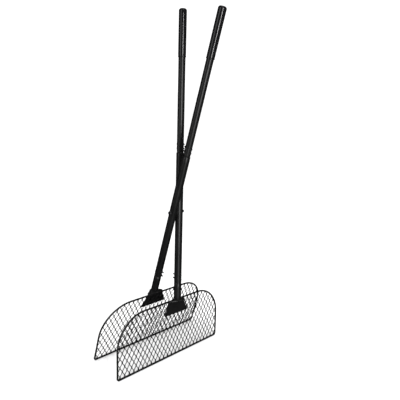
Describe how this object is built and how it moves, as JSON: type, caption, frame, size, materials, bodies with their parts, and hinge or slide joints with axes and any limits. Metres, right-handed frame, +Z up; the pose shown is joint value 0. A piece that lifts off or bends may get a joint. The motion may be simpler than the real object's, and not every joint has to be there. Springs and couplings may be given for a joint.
{
  "type": "leaf grabber",
  "caption": "Long-handled scissor leaf grabber: crossed bolted tube arms with sleeve grips, each ending in a framed expanded-metal panel.",
  "frame": {"origin": "on the ground, midway between the two panels, under the pivot bolt", "axes": "+Z up along the tool, +X along the pivot bolt and the panels' width, +Y from the front panel to the rear panel, the way the arms open"},
  "size_m": [0.5148, 0.234, 1.2648],
  "materials": {
    "powder_coat": "satin black powder coat on steel",
    "grip_vinyl": "smooth glossy black vinyl",
    "black_zinc": "black zinc plated steel",
    "spacer_nylon": "matt black nylon"
  },
  "bodies": {
    "front_arm": {"front_grip": "grip_vinyl", "front_upper_tube": "powder_coat", "front_middle_tube": "powder_coat", "front_socket_tube": "powder_coat", "front_bracket": "powder_coat", "front_panel_frame": "powder_coat", "front_panel_mesh": "powder_coat", "front_upper_bolt_1": "black_zinc", "front_upper_bolt_2": "black_zinc", "front_upper_nut_1": "black_zinc", "front_upper_nut_2": "black_zinc", "front_lower_bolt_1": "black_zinc", "front_lower_bolt_2": "black_zinc", "front_lower_nut_1": "black_zinc", "front_lower_nut_2": "black_zinc", "pivot_bolt": "black_zinc", "pivot_head_washer": "black_zinc", "pivot_spacer": "spacer_nylon", "pivot_nut_washer": "black_zinc", "pivot_nut": "black_zinc"},
    "rear_arm": {"rear_grip": "grip_vinyl", "rear_upper_tube": "powder_coat", "rear_middle_tube": "powder_coat", "rear_socket_tube": "powder_coat", "rear_bracket": "powder_coat", "rear_panel_frame": "powder_coat", "rear_panel_mesh": "powder_coat", "rear_upper_bolt_1": "black_zinc", "rear_upper_bolt_2": "black_zinc", "rear_upper_nut_1": "black_zinc", "rear_upper_nut_2": "black_zinc", "rear_lower_bolt_1": "black_zinc", "rear_lower_bolt_2": "black_zinc", "rear_lower_nut_1": "black_zinc", "rear_lower_nut_2": "black_zinc"}
  },
  "joints": [
    {"name": "scissor_pivot", "type": "hinge", "parent": "front_arm", "child": "rear_arm", "pos_m": [0, 0, 0.56575], "axis": [1, 0, 0], "range_deg": [-11.5, 45]}
  ]
}
